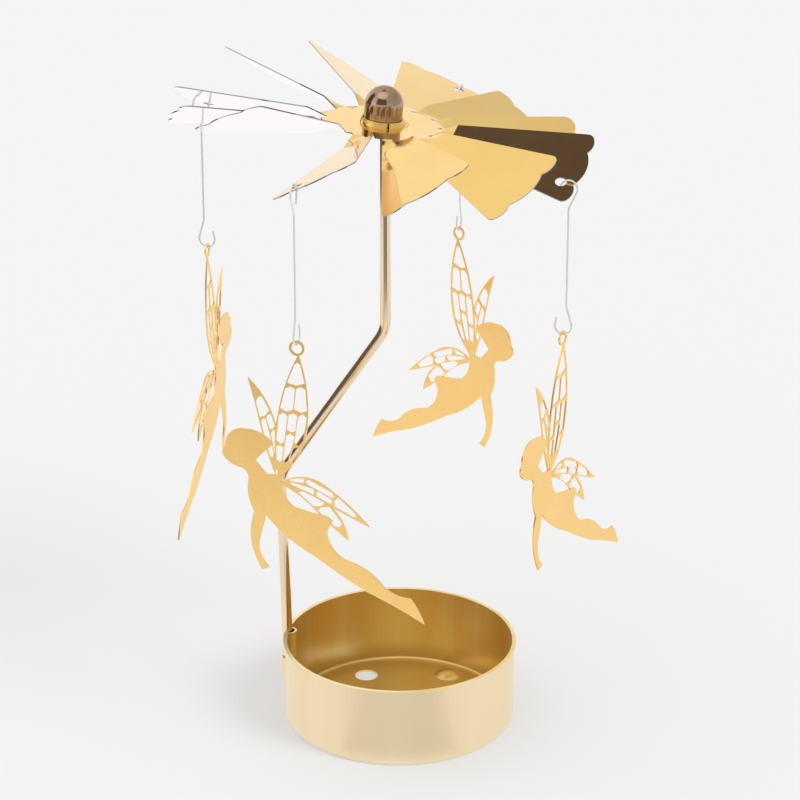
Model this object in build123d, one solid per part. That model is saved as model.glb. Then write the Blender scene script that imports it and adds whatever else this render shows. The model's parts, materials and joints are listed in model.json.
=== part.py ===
from build123d import *
from math import asin, atan2, cos, hypot, radians, sin, sqrt, tan
import os

# Rotating candle carousel, in millimetres and degrees.
# The cup stands on Z = 0 with its centre at the origin, and the rod clips to its wall on -X.
# Angles about Z run counter-clockwise from +X, seen from above.

# Candle cup: drawn from sheet, with a small hem round the rim
CUP_RADIUS = 30.0
CUP_HEIGHT = 21.5
CUP_SHEET = 0.5
CUP_CORNER = 1.4
HEM_PROUD = 0.45
HEM_HEIGHT = 0.9

# Floor of the cup: one drilled hole and one dimple pressed upwards
FLOOR_HOLE_RADIUS = 3.1
FLOOR_HOLE_REACH = 21.3
FLOOR_HOLE_ANGLE = 124.0
DIMPLE_RADIUS = 3.6
DIMPLE_HEIGHT = 1.2
DIMPLE_REACH = 23.7
DIMPLE_ANGLE = 65.3

# Rod clip: a strip lanced from the wall and bowed into the cup, over a scoop that is pressed out of
# the wall, grips the rod and runs out flush towards its foot
CLIP_UPPER = 7.1
CLIP_SLACK = 0.15
CLIP_SLIT = 0.4
CLIP_GRIP = 2.8
CLIP_FOOT = 2.2
CLIP_FIT = 0.05

# Support rod: one bent wire that ends in a needle point
ROD_DIAMETER = 2.7
ROD_LEAN_OUT = 1.0
LOWER_BEND_HEIGHT = 66.4
UPPER_BEND_HEIGHT = 107.6
BEND_RADIUS = 9.0
AXIS_X = -3.6
NEEDLE_HEIGHT = 167.8
NEEDLE_LENGTH = 4.0
NEEDLE_POINT = 0.15

# Pivot cap: a turned dome, drilled from below, that rides on the needle
CAP_RADIUS = 4.75
CAP_HEIGHT = 9.4
CAP_FLANGE_RADIUS = 7.0
CAP_FLANGE_SHEET = 0.6
CAP_BORE_RADIUS = 3.4
CAP_CROWN = 2.7
DRILL_POINT_ANGLE = 118.0
NEEDLE_FIT = 0.03

# Rotor: one sheet, slit into blades that are twisted at the neck and bent by hand
ROTOR_SHEET = 0.3
BLADE_COUNT = 12
FIRST_BLADE_ANGLE = -9.0
ROTOR_LEAN = 6.0
ROTOR_LEAN_ANGLE = 9.0
HUB_APOTHEM = 14.0
HUB_RELIEF = 0.9
NECK_LENGTH = 4.0
BLADE_HALF_ANGLE = 13.2
BLADE_CORNER_REACH = 49.7
NOTCH_REACH = 50.5
NOTCH_HALF_SPAN = 5.6
MIDDLE_LOBE_RISE = 1.5
CORNER_LOBE_RISE = 1.1
CORNER_ROUND = 1.6
# One value per blade, counter-clockwise from the first: how steep it is pitched, and how far it is
# bent up from the hub's plane
BLADE_PITCH = [30, 20, 23, 14, 30, 29, 26, 27, 30, 34, 35, 34]
BLADE_RISE = [-3, -6, -8, -1, 1, 2, -4.5, 0, 11, -2.5, -1, -2.5]

# Petals round the hub's hole, bent up to grip the cap
PETAL_COUNT = 4
PETAL_START_ANGLE = 24.0
PETAL_HEIGHT = 1.4
PETAL_SPREAD = 0.3
PETAL_SLIT = 0.7
PETAL_FIT = 0.15

# Hanging hooks: bent wire, a crook through the blade above and a crook for the figure below
HOOK_WIRE = 0.5
HOOK_WIRE_SIDES = 6
HOOK_LENGTH = 39.2
HOOK_UPPER_RADIUS = 2.1
HOOK_LOWER_RADIUS = 2.1
HOOK_SETBACK = 0.7
HOOK_TAPER = 5.0
HOOK_BEND = 3.0
HOOK_UPPER_TIP = 2.6
HOOK_LOWER_TIP = 1.8
HOOK_TIP_LEAN = 12.0
HOOK_SWING_IN = 6.0
HOOK_GAP = 0.08
HOOK_HOLE_RADIUS = 1.4
HOOK_BRIDGE = 1.7

# Flying figures: flat sheet with pierced wings and an eye at the tip of the long wing
FIGURE_SHEET = 0.4
FIGURE_DROP = 67.2
EYE_RADIUS = 1.9
EYE_HOLE_RADIUS = 1.35
EYE_GAP = 0.12
WING_RIM = 0.3
WING_VEIN = 0.2
WING_ARCS = 2
CELL_STAGGER = 0.25
# Corners of a cell, a long hexagon: how far along it, and on which side of its middle
CELL_CORNERS = ((0.0, 0), (0.1, -1), (0.9, -1), (1.0, 0), (0.9, 1), (0.1, 1))

# Side view of the figure, measured from the eye: X towards the feet, Y up, one line for each stretch
# of its outline, from the nape round the head, arms, legs and back
FIGURE_OUTLINE = (
    ((-11.0, -30.0), (-8.6, -27.4), (-6.3, -25.3)),
    ((-6.3, -25.3), (-9.5, -22.8), (-13.4, -22.1), (-17.3, -23.5), (-18.6, -27.0)),
    ((-18.6, -27.0), (-19.4, -28.8), (-18.4, -30.6), (-16.6, -31.8), (-14.0, -32.6), (-12.8, -34.8)),
    ((-12.8, -34.8), (-13.0, -38.8), (-11.5, -43.4)),
    ((-11.5, -43.4), (-12.2, -52.4), (-11.4, -55.2), (-9.7, -58.6)),
    ((-9.7, -58.6), (-7.9, -57.8)),
    ((-7.9, -57.8), (-9.4, -55.7), (-10.4, -53.4), (-9.9, -49.0), (-8.5, -44.0)),
    ((-8.5, -44.0), (1.4, -51.8), (6.2, -54.4), (13.0, -58.7), (26.4, -64.5), (31.6, -67.2)),
    ((31.6, -67.2), (30.5, -64.6), (28.2, -60.9)),
    ((28.2, -60.9), (25.2, -60.8), (21.3, -58.4), (17.5, -55.2), (12.5, -53.3), (7.1, -46.2)),
    ((7.1, -46.2), (8.5, -43.3)),
    ((8.5, -43.3), (7.3, -42.3)),
    ((7.3, -42.3), (-0.2, -41.2), (-2.9, -39.8), (-4.0, -37.0), (-4.0, -32.8)),
    ((-4.0, -32.8), (-8.2, -33.2)),
    ((-8.2, -33.2), (-11.0, -30.0)),
)
# Wings in the same view: root and tip, and two points that pull each edge outwards
LONG_WING = {
    "root": (-5.0, -33.8), "tip": (0.4, -1.5),
    "left": ((-7.6, -25.5), (-4.6, -10.5)), "right": ((5.2, -26.0), (3.2, -9.5)),
}
SHORT_WING = {
    "root": (-6.0, -33.0), "tip": (-12.5, -8.8),
    "left": ((-8.8, -26.0), (-9.9, -17.0)), "right": ((-2.6, -23.0), (-7.2, -13.2)),
}
UPPER_HIND_WING = {
    "root": (-4.6, -35.0), "tip": (17.8, -43.5),
    "left": ((2.0, -28.5), (12.0, -37.5)), "right": ((2.0, -35.8), (9.5, -40.6)),
}
LOWER_HIND_WING = {
    "root": (-4.4, -35.4), "tip": (12.5, -47.8),
    "left": ((4.0, -35.5), (11.5, -39.6)), "right": ((0.5, -36.4), (5.5, -43.0)),
}
# Columns of cells in each band of a wing, from root to tip, and the stretch of the wing that is pierced
LONG_WING_COLUMN_COUNTS = (3, 3, 2, 1)
LONG_WING_PIERCED_SHARE = (0.15, 0.93)
SHORT_WING_COLUMN_COUNTS = (2, 2, 1)
SHORT_WING_PIERCED_SHARE = (0.18, 0.78)
UPPER_HIND_COLUMN_COUNTS = (2, 2, 1)
UPPER_HIND_PIERCED_SHARE = (0.1, 0.86)
LOWER_HIND_COLUMN_COUNTS = (1, 1)
LOWER_HIND_PIERCED_SHARE = (0.24, 0.84)

# Which blade carries each hook and figure, and how far the figure is turned on its crook
HANGING_BLADE_INDEX = {"right": 0, "back": 3, "left": 6, "front": 9}
FIGURE_TURN_ANGLE = {"right": -15.0, "back": -25.0, "left": 5.0, "front": 0.0}

# Worked-out sizes
ROD_RADIUS = ROD_DIAMETER / 2
CLIP_INSIDE = ROD_RADIUS + CLIP_FIT
CLIP_OUTSIDE = CLIP_INSIDE + CUP_SHEET
CLIP_TOP = CUP_HEIGHT - CLIP_UPPER
SCOOP_TOP = CLIP_TOP - CLIP_SLIT
ROD_END = SCOOP_TOP - CLIP_GRIP
SEAT_HEIGHT = CAP_HEIGHT - CAP_CROWN
SEAT_SLOPE = 90 - DRILL_POINT_ANGLE / 2 + ROTOR_LEAN
SEAT_GAP = NEEDLE_FIT + NEEDLE_POINT * tan(radians(SEAT_SLOPE))
PETAL_TOP_RADIUS = CAP_RADIUS + PETAL_FIT
HUB_HOLE_RADIUS = PETAL_TOP_RADIUS + PETAL_SPREAD
BLADE_STEP = 360 / BLADE_COUNT
NECK_END = HUB_APOTHEM + NECK_LENGTH
WIRE_RADIUS = HOOK_WIRE / 2
HOOK_SEAT_REACH = NOTCH_REACH - HOOK_BRIDGE
HOOK_HOLE_REACH = HOOK_SEAT_REACH - HOOK_HOLE_RADIUS
EYE_DROP = EYE_HOLE_RADIUS - WIRE_RADIUS - EYE_GAP
DRAWN_DROP = -min(y for stretch in FIGURE_OUTLINE for x, y in stretch)
FIGURE_SCALE = FIGURE_DROP / DRAWN_DROP

# The rotor hangs on the needle by the top of the cap's bore, and leans about that point
NEEDLE_TOP = Vector(AXIS_X, 0, NEEDLE_HEIGHT)
LEAN = Rot(0, 0, ROTOR_LEAN_ANGLE) * Rot(0, ROTOR_LEAN, 0) * Rot(0, 0, -ROTOR_LEAN_ANGLE)
ROTOR_PLACE = Pos(NEEDLE_TOP + Vector(0, 0, SEAT_GAP)) * LEAN * Pos(0, 0, -SEAT_HEIGHT)


def polar(reach, angle):
    """Plan position at a distance and angle from the cup's centre."""
    return reach * cos(radians(angle)), reach * sin(radians(angle))


def nearest(shape, x, y):
    """The corner of a flat shape that lies nearest to a point."""
    return shape.vertices().sort_by_distance((x, y, 0))[0]


def clip_strip():
    """Strip of the rod clip that is bowed into the cup, on straight flanks from the wall."""
    side = Pos(CLIP_OUTSIDE, 0) * Rectangle(2 * CLIP_OUTSIDE, 2 * CLIP_OUTSIDE)
    bow = (Circle(CLIP_OUTSIDE) - Circle(CLIP_INSIDE)) & side
    depth = CUP_SHEET + CLIP_SLACK
    flanks = Rectangle(depth, 2 * CLIP_OUTSIDE) - Rectangle(depth, 2 * CLIP_INSIDE)
    strip = Pos(depth, 0) * bow + Pos(depth / 2, 0) * flanks
    return Pos(-CUP_RADIUS, 0, CLIP_TOP) * extrude(strip, CLIP_UPPER)


def scoop(radius, foot):
    """Round body of the clip's scoop: a cone that widens upwards from its foot, and the grip over it."""
    upwards = (Align.CENTER, Align.CENTER, Align.MIN)
    run_out = Pos(0, 0, foot) * Cone(0, radius, ROD_END - foot, align=upwards)
    grip = Pos(0, 0, ROD_END) * Cylinder(radius, CLIP_GRIP, align=upwards)
    return Pos(-CUP_RADIUS, 0, 0) * (run_out + grip)


def candle_cup():
    """Drawn cup with hem, floor hole, dimple and lanced rod clip."""
    inside = CUP_RADIUS - CUP_SHEET
    hem_bottom = CUP_HEIGHT - HEM_HEIGHT
    hem_radius = CUP_RADIUS + HEM_PROUD
    outline = Polyline(
        (0, 0), (CUP_RADIUS, 0), (CUP_RADIUS, hem_bottom), (hem_radius, hem_bottom),
        (hem_radius, CUP_HEIGHT), (inside, CUP_HEIGHT), (inside, CUP_SHEET), (0, CUP_SHEET),
        close=True,
    )
    profile = make_face(outline)
    profile = fillet(nearest(profile, CUP_RADIUS, 0), CUP_CORNER)
    profile = fillet(nearest(profile, inside, CUP_SHEET), CUP_CORNER - CUP_SHEET)
    cup = revolve(Plane.XZ * profile, Axis.Z)

    hole_x, hole_y = polar(FLOOR_HOLE_REACH, FLOOR_HOLE_ANGLE)
    cup -= Pos(hole_x, hole_y, 0) * Cylinder(FLOOR_HOLE_RADIUS, 4 * CUP_SHEET)
    dimple_x, dimple_y = polar(DIMPLE_REACH, DIMPLE_ANGLE)
    cup += Pos(dimple_x, dimple_y, CUP_SHEET) * dimple(DIMPLE_RADIUS)
    cup -= Pos(dimple_x, dimple_y, 0) * dimple(DIMPLE_RADIUS - CUP_SHEET)

    run_out = ROD_END - CLIP_FOOT
    bore = scoop(CLIP_INSIDE, CLIP_FOOT + run_out * CUP_SHEET / CLIP_OUTSIDE)
    outer_side = Pos(-CUP_RADIUS - CLIP_OUTSIDE + CUP_SHEET / 2, 0, CUP_HEIGHT / 2)
    cup += scoop(CLIP_OUTSIDE, CLIP_FOOT) & outer_side * Box(2 * CLIP_OUTSIDE, 2 * CLIP_OUTSIDE, CUP_HEIGHT)
    cup -= bore

    window_height = CUP_HEIGHT - SCOOP_TOP
    window_depth = 2 * (CUP_SHEET + HEM_PROUD)
    window = Pos(-CUP_RADIUS, 0, SCOOP_TOP + window_height / 2)
    cup -= window * Box(window_depth, 2 * CLIP_INSIDE, window_height)
    return cup + clip_strip()


def dimple(radius):
    """Shallow round cap, standing on the plane Z = 0."""
    ball_radius = (radius ** 2 + DIMPLE_HEIGHT ** 2) / (2 * DIMPLE_HEIGHT)
    ball = Pos(0, 0, DIMPLE_HEIGHT - ball_radius) * Sphere(ball_radius)
    return split(ball, bisect_by=Plane.XY)


def support_rod():
    """Bent rod from the clip to the needle point inside the cap."""
    shoulder = NEEDLE_HEIGHT - NEEDLE_LENGTH
    path = FilletPolyline(
        (-CUP_RADIUS, 0, ROD_END + CLIP_FIT),
        (-CUP_RADIUS, 0, CUP_HEIGHT),
        (-CUP_RADIUS - ROD_LEAN_OUT, 0, LOWER_BEND_HEIGHT),
        (AXIS_X, 0, UPPER_BEND_HEIGHT),
        (AXIS_X, 0, shoulder),
        radius=BEND_RADIUS,
    )
    rod = sweep(Plane(path @ 0, z_dir=path % 0) * Circle(ROD_RADIUS), path)
    needle = Cone(ROD_RADIUS, NEEDLE_POINT, NEEDLE_LENGTH, align=(Align.CENTER, Align.CENTER, Align.MIN))
    return rod + Pos(AXIS_X, 0, shoulder) * needle


def pivot_cap():
    """Dome with a flange under the hub and a drilled seat for the needle."""
    top = -ROTOR_SHEET / 2
    bottom = top - CAP_FLANGE_SHEET
    shoulder = CAP_HEIGHT - CAP_RADIUS
    bore_end = SEAT_HEIGHT - CAP_BORE_RADIUS / tan(radians(DRILL_POINT_ANGLE / 2))
    diagonal = CAP_RADIUS * cos(radians(45))
    outline = Polyline(
        (0, SEAT_HEIGHT), (CAP_BORE_RADIUS, bore_end), (CAP_BORE_RADIUS, bottom), (CAP_FLANGE_RADIUS, bottom),
        (CAP_FLANGE_RADIUS, top), (CAP_RADIUS, top), (CAP_RADIUS, shoulder),
    )
    outline += ThreePointArc((CAP_RADIUS, shoulder), (diagonal, shoulder + diagonal), (0, CAP_HEIGHT))
    outline += Line((0, CAP_HEIGHT), (0, SEAT_HEIGHT))
    return ROTOR_PLACE * revolve(Plane.XZ * make_face(outline), Axis.Z)


def blade_bend(index, share=1.0):
    """Frame at a blade's neck, with a share of its bend and pitch: X runs outwards, Y along the chord."""
    turn = Rot(0, 0, FIRST_BLADE_ANGLE + index * BLADE_STEP)
    bend = Rot(0, -share * BLADE_RISE[index], 0) * Rot(share * BLADE_PITCH[index], 0, 0)
    return turn * Pos(HUB_APOTHEM, 0, 0) * bend


def blade_point(index, reach, across):
    """Frame on a finished blade, at a reach from the hub's centre and a place along the chord."""
    return ROTOR_PLACE * blade_bend(index) * Pos(reach - HUB_APOTHEM, across, 0)


def half_width(reach):
    """Half the width of a blade at a reach from the hub's centre."""
    return reach * tan(radians(BLADE_HALF_ANGLE))


def lobe(start, end, rise):
    """Arc between two points that stands out from their chord by a rise."""
    across = Vector(*end) - Vector(*start)
    outward = Vector(across.Y, -across.X).normalized()
    return ThreePointArc(start, (Vector(*start) + Vector(*end)) / 2 + outward * rise, end)


def blade_outline():
    """Flat blade with three lobes along its outer edge, measured from the hub's centre."""
    neck = half_width(NECK_END)
    corner = half_width(BLADE_CORNER_REACH)
    low_corner = (BLADE_CORNER_REACH, -corner)
    high_corner = (BLADE_CORNER_REACH, corner)
    low_notch = (NOTCH_REACH, -NOTCH_HALF_SPAN)
    high_notch = (NOTCH_REACH, NOTCH_HALF_SPAN)
    edge = Polyline(high_corner, (NECK_END, neck), (NECK_END, -neck), low_corner)
    edge += lobe(low_corner, low_notch, CORNER_LOBE_RISE)
    edge += lobe(low_notch, high_notch, MIDDLE_LOBE_RISE)
    edge += lobe(high_notch, high_corner, CORNER_LOBE_RISE)
    flat = make_face(edge)
    for side in (-corner, corner):
        flat = fillet(nearest(flat, BLADE_CORNER_REACH, side), CORNER_ROUND)
    return flat


def rotor_blade(index, hooked):
    """One blade with its twisted neck, in the rotor's own frame."""
    flat = blade_outline()
    if hooked:
        flat -= Pos(HOOK_HOLE_REACH, -NOTCH_HALF_SPAN) * Circle(HOOK_HOLE_RADIUS)
    plate = extrude(flat, ROTOR_SHEET / 2, both=True)
    blade = blade_bend(index) * Pos(-HUB_APOTHEM, 0, 0) * plate

    hub_side = HUB_APOTHEM * tan(radians(BLADE_STEP / 2)) - HUB_RELIEF
    sections = []
    for share, width in ((0, hub_side), (1, half_width(NECK_END))):
        place = blade_bend(index, share) * Pos(share * NECK_LENGTH, 0, 0)
        sections.append(place * (Plane.YZ * Rectangle(2 * width, ROTOR_SHEET)))
    return blade + loft(sections, ruled=True)


def hub():
    """Flat hub with relief notches between the necks and petals round its hole."""
    plate = RegularPolygon(HUB_APOTHEM, BLADE_COUNT, major_radius=False, rotation=BLADE_STEP / 2)
    corner_reach = HUB_APOTHEM / cos(radians(BLADE_STEP / 2))
    plate -= PolarLocations(corner_reach, BLADE_COUNT, start_angle=BLADE_STEP / 2) * Circle(HUB_RELIEF)
    plate -= Circle(HUB_HOLE_RADIUS)
    hub_plate = Rot(0, 0, FIRST_BLADE_ANGLE) * extrude(plate, ROTOR_SHEET / 2, both=True)

    foot = HUB_HOLE_RADIUS + ROTOR_SHEET / 2
    base = -ROTOR_SHEET / 2
    wall = make_face(Polyline(
        (foot, base), (foot + ROTOR_SHEET, base), (PETAL_TOP_RADIUS + ROTOR_SHEET, PETAL_HEIGHT),
        (PETAL_TOP_RADIUS, PETAL_HEIGHT), close=True,
    ))
    petals = revolve(Plane.XZ * wall, Axis.Z)
    slit_height = 2 * PETAL_HEIGHT
    slit = Pos(0, 0, (slit_height + ROTOR_SHEET) / 2) * Box(2 * HUB_HOLE_RADIUS, PETAL_SLIT, slit_height)
    places = PolarLocations(PETAL_TOP_RADIUS, PETAL_COUNT, start_angle=PETAL_START_ANGLE)
    petals -= [place * slit for place in places]
    return hub_plate + petals


def rotor():
    """Hub and blades as one sheet, leaning on the needle."""
    hooked = HANGING_BLADE_INDEX.values()
    sheet = hub()
    for index in range(BLADE_COUNT):
        sheet += rotor_blade(index, index in hooked)
    return ROTOR_PLACE * sheet


def hook_seat(index):
    """Where a hook hangs on the outer edge of its hole, and the direction from there along the blade."""
    seat = blade_point(index, HOOK_SEAT_REACH, -NOTCH_HALF_SPAN).position
    edge = blade_point(index, NOTCH_REACH, -NOTCH_HALF_SPAN).position
    return seat, (edge - seat).normalized()


def level(direction):
    """A direction without its rise."""
    return Vector(direction.X, direction.Y, 0).normalized()


def crook_drop(index):
    """How far below the seat the upper crook's centre lies, to clear both edges of the bridge."""
    swing = radians(HOOK_SWING_IN) + asin(hook_seat(index)[1].Z)
    pitch = radians(BLADE_PITCH[index])
    sheet_top = ROTOR_SHEET / 2 / cos(pitch) + WIRE_RADIUS * tan(pitch)
    drops = []
    for reach in (0, HOOK_BRIDGE):
        inside = sqrt((HOOK_UPPER_RADIUS - WIRE_RADIUS) ** 2 - (reach - HOOK_SETBACK) ** 2)
        drops.append(inside - sheet_top - reach * sin(swing))
    return min(drops) - HOOK_GAP


def crook_run_out(radius, setback):
    """Where a crook meets its run to the shank, from the crook's centre: sideways, and along the shank."""
    slope = asin(radius / hypot(HOOK_TAPER, setback)) - atan2(setback, HOOK_TAPER)
    return radius * cos(slope), radius * sin(slope)


def crook_tip(radius, length):
    """Both ends of a crook's straight tip, which leans in towards the shank, from the crook's centre."""
    lean = radians(HOOK_TIP_LEAN)
    end = (-radius * cos(lean), radius * sin(lean))
    return end, (end[0] + length * sin(lean), end[1] + length * cos(lean))


def hook(index):
    """Wire hook that hangs from one blade, and the lowest point of its lower crook."""
    seat, direction = hook_seat(index)
    outward = level(direction)
    plane = Plane(seat, x_dir=outward, z_dir=outward.cross(Vector(0, 0, 1)))
    top = -crook_drop(index)
    low = top + HOOK_UPPER_RADIUS - HOOK_LENGTH + HOOK_LOWER_RADIUS

    def upper(point):
        """A point of the upper crook, which is turned over."""
        return HOOK_SETBACK + point[0], top - point[1]

    def lower(point):
        """A point of the lower crook, set back so that the figure hangs below the seat."""
        return point[0], low + point[1]

    upper_end, upper_tip = (upper(point) for point in crook_tip(HOOK_UPPER_RADIUS, HOOK_UPPER_TIP))
    lower_end, lower_tip = (lower(point) for point in crook_tip(HOOK_LOWER_RADIUS, HOOK_LOWER_TIP))
    upper_leg = upper(crook_run_out(HOOK_UPPER_RADIUS, 0))
    lower_leg = lower(crook_run_out(HOOK_LOWER_RADIUS, HOOK_SETBACK))
    upper_bend = (HOOK_SETBACK, top - HOOK_TAPER)
    lower_bend = (HOOK_SETBACK, low + HOOK_TAPER)
    path = Line(upper_tip, upper_end)
    path += ThreePointArc(upper_end, upper((0, -HOOK_UPPER_RADIUS)), upper_leg)
    path += FilletPolyline(upper_leg, upper_bend, lower_bend, lower_leg, radius=HOOK_BEND)
    path += ThreePointArc(lower_leg, lower((0, -HOOK_LOWER_RADIUS)), lower_end)
    path += Line(lower_end, lower_tip)
    start = plane.from_local_coords(upper_tip)
    towards = plane.from_local_coords(upper_end) - start
    section = Plane(start, x_dir=plane.z_dir, z_dir=towards) * RegularPolygon(WIRE_RADIUS, HOOK_WIRE_SIDES)
    return sweep(section, plane * path), plane.from_local_coords(lower((0, -HOOK_LOWER_RADIUS)))


def bezier_point(points, share):
    """Point on a cubic curve given by its four control points."""
    rest = 1 - share
    weights = (rest ** 3, 3 * rest ** 2 * share, 3 * rest * share ** 2, share ** 3)
    x = sum(weight * point[0] for weight, point in zip(weights, points))
    y = sum(weight * point[1] for weight, point in zip(weights, points))
    return x, y


def wing_cell(left, right, column, columns, start, end):
    """One pierced cell between two veins, from a share of the wing's length to another."""
    corners = []
    for place, side in CELL_CORNERS:
        share = start + place * (end - start)
        left_x, left_y = bezier_point(left, share)
        right_x, right_y = bezier_point(right, share)
        width = hypot(right_x - left_x, right_y - left_y)
        cell = max((width - 2 * WING_RIM - (columns - 1) * WING_VEIN) / columns, WING_VEIN)
        across = (WING_RIM + column * (cell + WING_VEIN) + (1 + side) * cell / 2) / width
        corners.append((left_x + across * (right_x - left_x), left_y + across * (right_y - left_y)))
    return make_face(Polyline(*corners, close=True))


def arcs_along(curve, count):
    """Chain of arcs that follows a curve."""
    chain = Curve()
    for step in range(count):
        start, middle, end = (curve @ ((step + part) / count) for part in (0, 0.5, 1))
        chain += ThreePointArc(start, middle, end)
    return chain


def wing(drawing, column_counts, pierced_share):
    """Leaf-shaped wing, whole and pierced with its bands of cells."""
    root, tip = drawn(drawing["root"]), drawn(drawing["tip"])
    left = (root, *(drawn(point) for point in drawing["left"]), tip)
    right = (root, *(drawn(point) for point in drawing["right"]), tip)
    leaf = make_face(arcs_along(Bezier(*left), WING_ARCS) + arcs_along(Bezier(*right), WING_ARCS))
    start, end = pierced_share
    band = (end - start) / len(column_counts)
    vein = WING_VEIN / hypot(tip[0] - root[0], tip[1] - root[1])

    def band_edge(row, column):
        """Where a column's cells part between two bands, staggered where both have as many columns."""
        edge = start + row * band
        if 0 < row < len(column_counts) and column_counts[row] == column_counts[row - 1] > 1:
            edge += CELL_STAGGER * band * (1 if column % 2 else -1)
        return edge

    cells = []
    for row, columns in enumerate(column_counts):
        for column in range(columns):
            first, last = band_edge(row, column), band_edge(row + 1, column) - vein
            cells.append(wing_cell(left, right, column, columns, first, last))
    return leaf, leaf - cells


def drawn(point):
    """A point of the figure's drawing at the figure's real size."""
    return point[0] * FIGURE_SCALE, point[1] * FIGURE_SCALE


def figure_body():
    """Flat outline of the figure without its wings."""
    line = Curve()
    for stretch in FIGURE_OUTLINE:
        points = [drawn(point) for point in stretch]
        line += arcs_along(Spline(*points), len(points) // 2) if len(points) > 2 else Line(*points)
    return make_face(line)


def figure_face():
    """Whole flat outline of the figure: body, four pierced wings and the eye."""
    long_leaf, long_wing = wing(LONG_WING, LONG_WING_COLUMN_COUNTS, LONG_WING_PIERCED_SHARE)
    short_wing = wing(SHORT_WING, SHORT_WING_COLUMN_COUNTS, SHORT_WING_PIERCED_SHARE)[1] - long_leaf
    hind_leaf, hind_wing = wing(UPPER_HIND_WING, UPPER_HIND_COLUMN_COUNTS, UPPER_HIND_PIERCED_SHARE)
    lower_wing = wing(LOWER_HIND_WING, LOWER_HIND_COLUMN_COUNTS, LOWER_HIND_PIERCED_SHARE)[1] - hind_leaf
    face = figure_body() + long_wing + short_wing + hind_wing + lower_wing
    return face + Circle(EYE_RADIUS) - Circle(EYE_HOLE_RADIUS)


def figure(flat, index, crook, turn):
    """Flat figure that hangs by its eye from a crook, facing along the rotor's turn."""
    outward = level(hook_seat(index)[1])
    along = Vector(-outward.Y, outward.X, 0).rotate(Axis.Z, turn)
    plane = Plane(crook - Vector(0, 0, EYE_DROP), x_dir=along, z_dir=along.cross(Vector(0, 0, 1)))
    return plane * extrude(flat, FIGURE_SHEET / 2, both=True)


def build():
    """All pieces by node name."""
    pieces = {
        "candle_cup": candle_cup(),
        "support_rod": support_rod(),
        "pivot_cap": pivot_cap(),
        "rotor": rotor(),
    }
    flat = figure_face()
    for place, index in HANGING_BLADE_INDEX.items():
        wire, crook = hook(index)
        pieces["hook_" + place] = wire
        pieces["fairy_" + place] = figure(flat, index, crook, FIGURE_TURN_ANGLE[place])
    return pieces


os.makedirs("parts", exist_ok=True)
for name, piece in build().items():
    export_step(piece, "parts/" + name + ".step")
    print(name, len(piece.solids()), "solid", round(piece.volume, 1), "cubic mm")
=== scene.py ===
from collections import namedtuple
import json
import math

import bpy
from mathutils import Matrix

# Looks of the rotating candle carousel, in metres and degrees, in the model's own frame.

# Camera: at the picture's viewing angle, its lens in millimetres; the picture is square
CAMERA_PLACE = (0.10292, -0.64922, 0.35362)
CAMERA_AZIMUTH = 9.0
CAMERA_PITCH = 21.95
SENSOR_WIDTH = 36.0
FOCAL_LENGTH = 126.0

# Floor and backdrop: pale, the floor glowing a little where the camera sees it, so that shadows stay
# soft, and more where the mirrors do
BACKDROP_LEVEL = 0.913
FLOOR_SIZE = 12.0
FLOOR_ALBEDO = 0.706
SEEN_GLOW_SHARE = 0.3
MIRRORED_GLOW_SHARE = 0.85

# Dome of light: brighter on the left and near the horizon; its level changes between two heights, where
# straight up is 1. A dark patch is high up at the back and a bright one high up at the front, each fading
# from an inner to an outer angle
DOME_SLANT = 0.35
HORIZON_LEVEL = 1.0
HORIZON_END = 0.3
DOME_LEVEL = 0.84
DOME_START = 0.42
DARK_PATCH_TOWARDS = (-0.03, 0.248, 0.968)
DARK_PATCH_ANGLES = (5.0, 10.0)
DARK_PATCH_COLOUR = (0.12, 0.10, 0.14)
BRIGHT_PATCH_TOWARDS = (-0.05, -0.36, 0.93)
BRIGHT_PATCH_ANGLES = (22.0, 30.0)
BRIGHT_PATCH_GAIN = 0.5

# Soft lamp on the right, a little to the front, that throws the shadow to the left and doesn't show in
# the mirrors: angle above the floor, angle from +X, spread and level
LAMP_HEIGHT_ANGLE = 42.0
LAMP_AZIMUTH = -22.0
LAMP_SPREAD = 30.0
LAMP_LEVEL = 1.45

# Grey cards that show in the mirrors only, round the object, close to the cap and on the floor: first
# and last angle from the front, counter-clockwise seen from above, reach and height of the first and of
# the second edge, and level
CARD_STEP = 5.0
CARDS = {
    "card_front": (-31.0, 49.0, (0.285, 0.012), (0.285, 0.17), 0.28),
    "card_left": (-120.0, -33.0, (0.285, 0.05), (0.285, 0.17), 0.12),
    "card_cap_left": (-104.0, -72.0, (0.034, 0.166), (0.034, 0.2), 0.14),
    "card_cap_front": (-42.0, 20.0, (0.034, 0.172), (0.034, 0.2), 0.18),
    "card_floor": (-25.0, 43.0, (0.034, 0.0003), (0.1, 0.0003), 0.78),
}
CARD_HIDDEN_FROM = ("camera", "diffuse", "transmission", "shadow")

WHITE = (1.0, 1.0, 1.0)

# Metals: the colour that each one mirrors, most of them in two tones
GOLD = (0.96, 0.66, 0.23)
GOLD_DEEP = (0.92, 0.61, 0.20)
UNDERSIDE = (1.0, 0.94, 0.985)
CUT_EDGE = (0.42, 0.39, 0.36)
FIGURE_GOLD = (1.0, 0.67, 0.255)
FIGURE_GOLD_DEEP = (0.97, 0.635, 0.23)
CHAMPAGNE = (0.88, 0.71, 0.46)
CHAMPAGNE_PALE = (0.93, 0.77, 0.51)
CUP_INSIDE = (1.0, 0.88, 0.50)
CUP_INSIDE_DEEP = (0.93, 0.70, 0.29)
# Painted shade: a darker, deeper amber for the cup's floor, where shade falls inside the bowl
CUP_FLOOR_PAINTED_SHADE = (0.75, 0.54, 0.21)
ROD_GOLD = (0.80, 0.64, 0.45)
ROD_PALE = (0.88, 0.72, 0.52)
BRONZE = (0.36, 0.235, 0.15)
BRONZE_PALE = (0.46, 0.31, 0.20)
STEEL = (0.93, 0.93, 0.92)
STEEL_DARK = (0.90, 0.90, 0.90)

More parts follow.
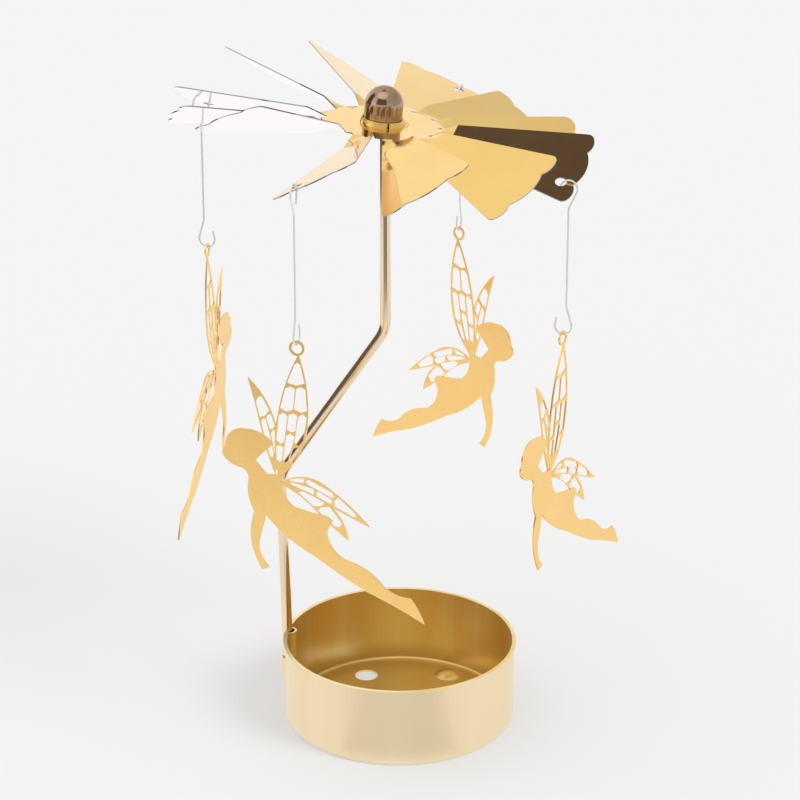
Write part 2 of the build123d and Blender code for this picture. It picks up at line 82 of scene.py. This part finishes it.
# Roughness: one value, or the lowest and highest
SHEET_ROUGHNESS = (0.05, 0.11)
PETAL_ROUGHNESS = 0.42
FIGURE_ROUGHNESS = (0.26, 0.36)
CUP_WALL_ROUGHNESS = 0.37
CUP_FLOOR_ROUGHNESS = 0.28
ROD_ROUGHNESS = (0.07, 0.13)
CAP_ROUGHNESS = (0.12, 0.18)
WIRE_ROUGHNESS = (0.55, 0.7)

# Patterns on the metals: a factor along each axis, where a small one draws the pattern out, its scale
# and detail, and the strength and depth of the bump that it makes, if any
Pattern = namedtuple("Pattern", "stretch scale detail strength depth", defaults=(0.0, 0.0))
SHEET_CLOUD = Pattern((1, 1, 1), 60, 4.0, 0.04, 0.001)
SHEET_LINES = Pattern((1, 12, 1), 260, 4.0, 0.02, 0.0002)
FIGURE_CLOUD = Pattern((1, 1, 1), 90, 4.0, 0.05, 0.001)
FIGURE_GRAIN = Pattern((1, 1, 1), 4000, 2.0, 0.05, 0.00005)
CUP_STREAKS = Pattern((1, 1, 0.1), 70, 4.0, 0.02, 0.001)
CUP_BROAD_STREAKS = Pattern((1, 1, 0.1), 45, 4.0)
CUP_RINGS = Pattern((1, 1, 40), 60, 2.0, 0.008, 0.0001)
ROD_CLOUD = Pattern((1, 1, 0.2), 120, 4.0)
ROD_LINES = Pattern((1, 1, 0.02), 2500, 2.0, 0.03, 0.0001)
CAP_TARNISH = Pattern((1, 1, 0.6), 160, 4.0)
CAP_RINGS = Pattern((1, 1, 30), 200, 2.0, 0.02, 0.0001)
WIRE_LINES = Pattern((1, 1, 0.05), 3000, 2.0, 0.03, 0.00005)

# Spans of a pattern over which a tone or a roughness changes
TONE_SPAN = (0.3, 0.7)
SHEET_TONE_SPAN = (0.35, 0.7)
TARNISH_SPAN = (0.35, 0.65)
BROAD_STREAK_SPAN = (0.42, 0.58)

# Rotor: how far a surface faces up where the pale side ends and the gold side starts, and how far up or
# down where a cut edge ends and a flat side starts; the reach from which cut edges show, past the petals,
# and the reach up to which the petals stand upright
UPPER_SIDE_SPAN = (-0.05, 0.05)
FLAT_SIDE_SPAN = (0.6, 0.7)
PETAL_SPAN = (0.008, 0.009)
UPRIGHT_PETAL_SPAN = (0.0058, 0.0062)

# Cup: how far a surface faces out, times its reach, where the inside ends and the outside starts; the
#  height where the painted shade at the bottom of the bowl ends and the wall's own colour starts; and how
#  far a surface faces up where the wall's roughness ends and the floor's starts
OUTSIDE_SPAN = (0.004, 0.008)
CUP_PAINTED_SHADE_SPAN = (0.002, 0.006)
CUP_FLOOR_SPAN = (0.5, 0.9)

# Places of the colours among the sockets of a mix, whose names repeat
MIX_COLOUR_INPUTS = (6, 7)
MIX_COLOUR_OUTPUT = 2


def add(tree, kind, **settings):
    """A new node, with its settings."""
    node = tree.nodes.new(kind)
    for key, value in settings.items():
        setattr(node, key, value)
    return node


def link(tree, start, end):
    """A link from one socket to another."""
    tree.links.new(start, end)


def noise(tree, pattern):
    """Noise of a pattern, in the piece's own space."""
    place = add(tree, "ShaderNodeTexCoord")
    mapping = add(tree, "ShaderNodeMapping")
    mapping.inputs["Scale"].default_value = pattern.stretch
    texture = add(tree, "ShaderNodeTexNoise")
    texture.inputs["Scale"].default_value = pattern.scale
    texture.inputs["Detail"].default_value = pattern.detail
    link(tree, place.outputs["Object"], mapping.inputs["Vector"])
    link(tree, mapping.outputs["Vector"], texture.inputs["Vector"])
    return texture.outputs["Fac"]


def ramp(tree, value, span, levels=(0, 1), kind="LINEAR"):
    """A value that changes from one level to another over a span, and is held at both ends."""
    node = add(tree, "ShaderNodeMapRange", interpolation_type=kind)
    for socket, number in zip(("From Min", "From Max", "To Min", "To Max"), (*span, *levels)):
        node.inputs[socket].default_value = number
    link(tree, value, node.inputs["Value"])
    return node.outputs["Result"]


def maths(tree, operation, *values):
    """One step of arithmetic on sockets and plain numbers."""
    node = add(tree, "ShaderNodeMath", operation=operation)
    for socket, value in zip(node.inputs, values):
        if isinstance(value, float):
            socket.default_value = value
        else:
            link(tree, value, socket)
    return node.outputs["Value"]


def two_colours(tree, factor, *colours):
    """A colour between two, by a factor."""
    node = add(tree, "ShaderNodeMix", data_type="RGBA")
    link(tree, factor, node.inputs["Factor"])
    for place, colour in zip(MIX_COLOUR_INPUTS, colours):
        if isinstance(colour, tuple):
            node.inputs[place].default_value = (*colour, 1.0)
        else:
            link(tree, colour, node.inputs[place])
    return node.outputs[MIX_COLOUR_OUTPUT]


def mix_shaders(tree, factor, *shaders):
    """A mix of two shaders, by a factor."""
    node = add(tree, "ShaderNodeMixShader")
    link(tree, factor, node.inputs["Fac"])
    for socket, shader in zip(node.inputs[1:], shaders):
        link(tree, shader, socket)
    return node.outputs["Shader"]


def show(tree, shader, kind="ShaderNodeOutputMaterial"):
    """Puts a shader on the surface that a tree belongs to."""
    link(tree, shader, add(tree, kind).inputs["Surface"])


def bump(tree, shader, *layers):
    """Bumps stacked on one another, each from the noise of a pattern."""
    last = None
    for height, pattern in layers:
        node = add(tree, "ShaderNodeBump")
        node.inputs["Strength"].default_value = pattern.strength
        node.inputs["Distance"].default_value = pattern.depth
        link(tree, height, node.inputs["Height"])
        if last:
            link(tree, last, node.inputs["Normal"])
        last = node.outputs["Normal"]
    link(tree, last, shader.inputs["Normal"])


def split_vector(tree, vector):
    """The three components of a vector."""
    node = add(tree, "ShaderNodeSeparateXYZ")
    link(tree, vector, node.inputs["Vector"])
    return node.outputs["X"], node.outputs["Y"], node.outputs["Z"]


def own_place(tree):
    """The three components of a place in the piece's own space."""
    return split_vector(tree, add(tree, "ShaderNodeTexCoord").outputs["Object"])


def facing_up(tree):
    """How far a surface faces up."""
    return split_vector(tree, add(tree, "ShaderNodeNewGeometry").outputs["Normal"])[2]


def facing_out(tree):
    """How far a surface faces away from the upright axis through the origin, times its reach."""
    geometry = add(tree, "ShaderNodeNewGeometry")
    places = split_vector(tree, geometry.outputs["Position"])
    normals = split_vector(tree, geometry.outputs["Normal"])
    products = [maths(tree, "MULTIPLY", places[axis], normals[axis]) for axis in (0, 1)]
    return maths(tree, "ADD", *products)


def reach_from_axis(tree, axis_x):
    """Distance from an upright axis that stands on the X axis."""
    x, y, _ = own_place(tree)
    across = maths(tree, "SUBTRACT", x, axis_x)
    squares = [maths(tree, "MULTIPLY", value, value) for value in (across, y)]
    return maths(tree, "SQRT", maths(tree, "ADD", *squares))


def new_metal(name):
    """A metal with its shader, ready for its pattern."""
    material = bpy.data.materials.new(name)
    material.use_nodes = True
    shader = material.node_tree.nodes["Principled BSDF"]
    shader.inputs["Metallic"].default_value = 1.0
    return material, material.node_tree, shader


def rotor_metal(axis_x):
    """Mirror-polished sheet with faint rolling lines: gold above, pale below and grey where it is cut."""
    material, tree, shader = new_metal("polished_gold_sheet")
    cloud = noise(tree, SHEET_CLOUD)
    lines = noise(tree, SHEET_LINES)
    gold = two_colours(tree, ramp(tree, cloud, SHEET_TONE_SPAN), GOLD, GOLD_DEEP)
    facing = facing_up(tree)
    sides = two_colours(tree, ramp(tree, facing, UPPER_SIDE_SPAN), UNDERSIDE, gold)
    flat = ramp(tree, maths(tree, "ABSOLUTE", facing), FLAT_SIDE_SPAN)
    reach = reach_from_axis(tree, axis_x)
    petals = ramp(tree, reach, PETAL_SPAN, (1, 0))
    side_share = maths(tree, "MAXIMUM", flat, petals)
    link(tree, two_colours(tree, side_share, CUT_EDGE, sides), shader.inputs["Base Color"])
    polish = ramp(tree, lines, TONE_SPAN, SHEET_ROUGHNESS)
    upright = ramp(tree, reach, UPRIGHT_PETAL_SPAN, (PETAL_ROUGHNESS, 0))
    link(tree, maths(tree, "MAXIMUM", polish, upright), shader.inputs["Roughness"])
    bump(tree, shader, (lines, SHEET_LINES), (cloud, SHEET_CLOUD))
    return material


def figure_metal():
    """Satin gold sheet with a fine grain."""
    material, tree, shader = new_metal("satin_gold_sheet")
    cloud = noise(tree, FIGURE_CLOUD)
    grain = noise(tree, FIGURE_GRAIN)
    tone = ramp(tree, cloud, TONE_SPAN)
    link(tree, two_colours(tree, tone, FIGURE_GOLD, FIGURE_GOLD_DEEP), shader.inputs["Base Color"])
    link(tree, ramp(tree, grain, TONE_SPAN, FIGURE_ROUGHNESS), shader.inputs["Roughness"])
    bump(tree, shader, (grain, FIGURE_GRAIN), (cloud, FIGURE_CLOUD))
    return material


def cup_metal():
    """Drawn cup with soft streaks and fine rings: champagne outside, amber inside, and painted shade that
    darkens it towards its floor.
    """
    material, tree, shader = new_metal("champagne_gold_cup")
    streaks = noise(tree, CUP_STREAKS)
    rings = noise(tree, CUP_RINGS)
    wall = two_colours(tree, ramp(tree, streaks, TONE_SPAN), CHAMPAGNE, CHAMPAGNE_PALE)
    broad = ramp(tree, noise(tree, CUP_BROAD_STREAKS), BROAD_STREAK_SPAN)
    inside = two_colours(tree, broad, CUP_INSIDE, CUP_INSIDE_DEEP)
    # Painted shade: the inside turns darker towards the cup's floor, over a span of height
    low = ramp(tree, own_place(tree)[2], CUP_PAINTED_SHADE_SPAN, (1, 0))
    shaded_bowl = two_colours(tree, low, inside, CUP_FLOOR_PAINTED_SHADE)
    outside = ramp(tree, facing_out(tree), OUTSIDE_SPAN)
    link(tree, two_colours(tree, outside, shaded_bowl, wall), shader.inputs["Base Color"])
    roughness = ramp(tree, facing_up(tree), CUP_FLOOR_SPAN, (CUP_WALL_ROUGHNESS, CUP_FLOOR_ROUGHNESS))
    link(tree, roughness, shader.inputs["Roughness"])
    bump(tree, shader, (rings, CUP_RINGS), (streaks, CUP_STREAKS))
    return material


def rod_metal():
    """Drawn rod with faint lines along its length."""
    material, tree, shader = new_metal("drawn_gold_rod")
    lines = noise(tree, ROD_LINES)
    tone = ramp(tree, noise(tree, ROD_CLOUD), TONE_SPAN)
    link(tree, two_colours(tree, tone, ROD_GOLD, ROD_PALE), shader.inputs["Base Color"])
    link(tree, ramp(tree, lines, TONE_SPAN, ROD_ROUGHNESS), shader.inputs["Roughness"])
    bump(tree, shader, (lines, ROD_LINES))
    return material


def cap_metal():
    """Turned bronze cap, polished, with a faint tarnish."""
    material, tree, shader = new_metal("polished_bronze_cap")
    rings = noise(tree, CAP_RINGS)
    tone = ramp(tree, noise(tree, CAP_TARNISH), TARNISH_SPAN)
    link(tree, two_colours(tree, tone, BRONZE, BRONZE_PALE), shader.inputs["Base Color"])
    link(tree, ramp(tree, rings, TONE_SPAN, CAP_ROUGHNESS), shader.inputs["Roughness"])
    bump(tree, shader, (rings, CAP_RINGS))
    return material


def wire_metal():
    """Bright steel wire with faint drawing lines."""
    material, tree, shader = new_metal("bright_steel_wire")
    lines = noise(tree, WIRE_LINES)
    link(tree, two_colours(tree, lines, STEEL_DARK, STEEL), shader.inputs["Base Color"])
    link(tree, ramp(tree, lines, TONE_SPAN, WIRE_ROUGHNESS), shader.inputs["Roughness"])
    bump(tree, shader, (lines, WIRE_LINES))
    return material


def dress(frame):
    """Gives every piece its metal."""
    spin = next(joint for joint in frame["joints"] if joint["name"] == "rotor_spin")
    metals = {
        "rotor": rotor_metal(spin["pos_m"][0]), "candle_cup": cup_metal(), "support_rod": rod_metal(),
        "pivot_cap": cap_metal(), "hook": wire_metal(), "fairy": figure_metal(),
    }
    for name, piece in frame["nodes"].items():
        metal = metals.get(name) or metals[name.split("_")[0]]
        piece.data.materials.clear()
        piece.data.materials.append(metal)


def new_stage(name, points, faces):
    """An object of the studio, with its mesh and an empty material tree."""
    mesh = bpy.data.meshes.new(name)
    mesh.from_pydata(points, [], faces)
    piece = bpy.data.objects.new(name, mesh)
    bpy.context.scene.collection.objects.link(piece)
    material = bpy.data.materials.new(name)
    material.use_nodes = True
    material.node_tree.nodes.clear()
    mesh.materials.append(material)
    return piece, material.node_tree


def glow_share(tree):
    """How much the floor glows on rays from the camera and on mirrored or passed rays; 0 on others."""
    path = add(tree, "ShaderNodeLightPath")
    passed = maths(tree, "MAXIMUM", path.outputs["Is Glossy Ray"], path.outputs["Is Transmission Ray"])
    mirrored = maths(tree, "MULTIPLY", passed, MIRRORED_GLOW_SHARE)
    seen = maths(tree, "MULTIPLY", path.outputs["Is Camera Ray"], SEEN_GLOW_SHARE)
    return maths(tree, "MAXIMUM", mirrored, seen)


def floor():
    """Pale floor that glows where it is seen or mirrored, and keeps its shadows."""
    half = FLOOR_SIZE / 2
    corners = [(-half, -half, 0), (half, -half, 0), (half, half, 0), (-half, half, 0)]
    tree = new_stage("floor", corners, [(0, 1, 2, 3)])[1]
    diffuse = add(tree, "ShaderNodeBsdfDiffuse")
    diffuse.inputs["Color"].default_value = (FLOOR_ALBEDO, FLOOR_ALBEDO, FLOOR_ALBEDO, 1.0)
    glow = add(tree, "ShaderNodeEmission")
    glow.inputs["Color"].default_value = (*WHITE, 1.0)
    show(tree, mix_shaders(tree, glow_share(tree), diffuse.outputs["BSDF"], glow.outputs["Emission"]))


def card(name, first, last, low, high, level):
    """Bent card that only the mirrors see."""
    steps = round((last - first) / CARD_STEP)
    points = []
    for step in range(steps + 1):
        angle = math.radians(first + step * (last - first) / steps)
        for reach, height in (low, high):
            points.append((reach * math.sin(angle), -reach * math.cos(angle), height))
    faces = [(2 * step, 2 * step + 2, 2 * step + 3, 2 * step + 1) for step in range(steps)]
    piece, tree = new_stage(name, points, faces)
    for ray in CARD_HIDDEN_FROM:
        setattr(piece, "visible_" + ray, False)
    tone = add(tree, "ShaderNodeEmission")
    tone.inputs["Strength"].default_value = level
    show(tree, tone.outputs["Emission"])


def patch(tree, towards, centre, angles):
    """1 within the inner angle from a direction, falling to 0 at the outer one."""
    nearness = add(tree, "ShaderNodeVectorMath", operation="DOT_PRODUCT")
    nearness.inputs[1].default_value = centre
    link(tree, towards, nearness.inputs[0])
    inner, outer = (math.cos(math.radians(angle)) for angle in angles)
    return ramp(tree, nearness.outputs["Value"], (outer, inner), kind="SMOOTHSTEP")


def dome():
    """Dome of light: uneven in the mirrors, and one plain tone to the camera."""
    world = bpy.data.worlds.new("studio")
    bpy.context.scene.world = world
    world.use_nodes = True
    tree = world.node_tree
    tree.nodes.clear()
    towards = add(tree, "ShaderNodeTexCoord").outputs["Generated"]
    x, _, z = split_vector(tree, towards)
    side = ramp(tree, x, (-1, 1), (1 + DOME_SLANT, 1 - DOME_SLANT))
    height = ramp(tree, z, (HORIZON_END, DOME_START), (HORIZON_LEVEL, DOME_LEVEL))
    dark = patch(tree, towards, DARK_PATCH_TOWARDS, DARK_PATCH_ANGLES)
    bright = patch(tree, towards, BRIGHT_PATCH_TOWARDS, BRIGHT_PATCH_ANGLES)
    gain = ramp(tree, bright, (0, 1), (1, 1 + BRIGHT_PATCH_GAIN))
    level = maths(tree, "MULTIPLY", maths(tree, "MULTIPLY", side, height), gain)
    light = add(tree, "ShaderNodeBackground")
    link(tree, two_colours(tree, dark, WHITE, DARK_PATCH_COLOUR), light.inputs["Color"])
    link(tree, level, light.inputs["Strength"])
    backdrop = add(tree, "ShaderNodeBackground")
    backdrop.inputs["Color"].default_value = (*WHITE, 1.0)
    backdrop.inputs["Strength"].default_value = BACKDROP_LEVEL
    seen = add(tree, "ShaderNodeLightPath").outputs["Is Camera Ray"]
    both = mix_shaders(tree, seen, light.outputs["Background"], backdrop.outputs["Background"])
    show(tree, both, "ShaderNodeOutputWorld")


def lamp():
    """Soft lamp that lights the floor."""
    data = bpy.data.lights.new("lamp", "SUN")
    data.angle = math.radians(LAMP_SPREAD)
    data.energy = LAMP_LEVEL
    piece = bpy.data.objects.new("lamp", data)
    piece.rotation_euler = (0, math.radians(90 - LAMP_HEIGHT_ANGLE), math.radians(LAMP_AZIMUTH))
    piece.visible_glossy = False
    bpy.context.scene.collection.objects.link(piece)


def camera():
    """Camera at the picture's viewing angle."""
    data = bpy.data.cameras.new("camera")
    data.sensor_width = SENSOR_WIDTH
    data.lens = FOCAL_LENGTH
    eye = bpy.data.objects.new("camera", data)
    eye.location = CAMERA_PLACE
    eye.rotation_euler = (math.radians(90 - CAMERA_PITCH), 0, math.radians(CAMERA_AZIMUTH))
    bpy.context.scene.collection.objects.link(eye)
    bpy.context.scene.camera = eye


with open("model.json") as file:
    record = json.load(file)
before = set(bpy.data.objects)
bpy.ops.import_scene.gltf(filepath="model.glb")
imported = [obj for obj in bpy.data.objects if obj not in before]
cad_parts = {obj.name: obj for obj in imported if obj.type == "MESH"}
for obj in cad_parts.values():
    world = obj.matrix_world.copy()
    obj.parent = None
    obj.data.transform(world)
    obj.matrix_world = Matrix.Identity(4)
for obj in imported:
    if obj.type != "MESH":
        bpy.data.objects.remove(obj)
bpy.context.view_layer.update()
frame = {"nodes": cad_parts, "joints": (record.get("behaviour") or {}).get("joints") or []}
bpy.context.scene.view_settings.view_transform = "Standard"
dress(frame)
floor()
for card_name, card_extent in CARDS.items():
    card(card_name, *card_extent)
dome()
lamp()
camera()
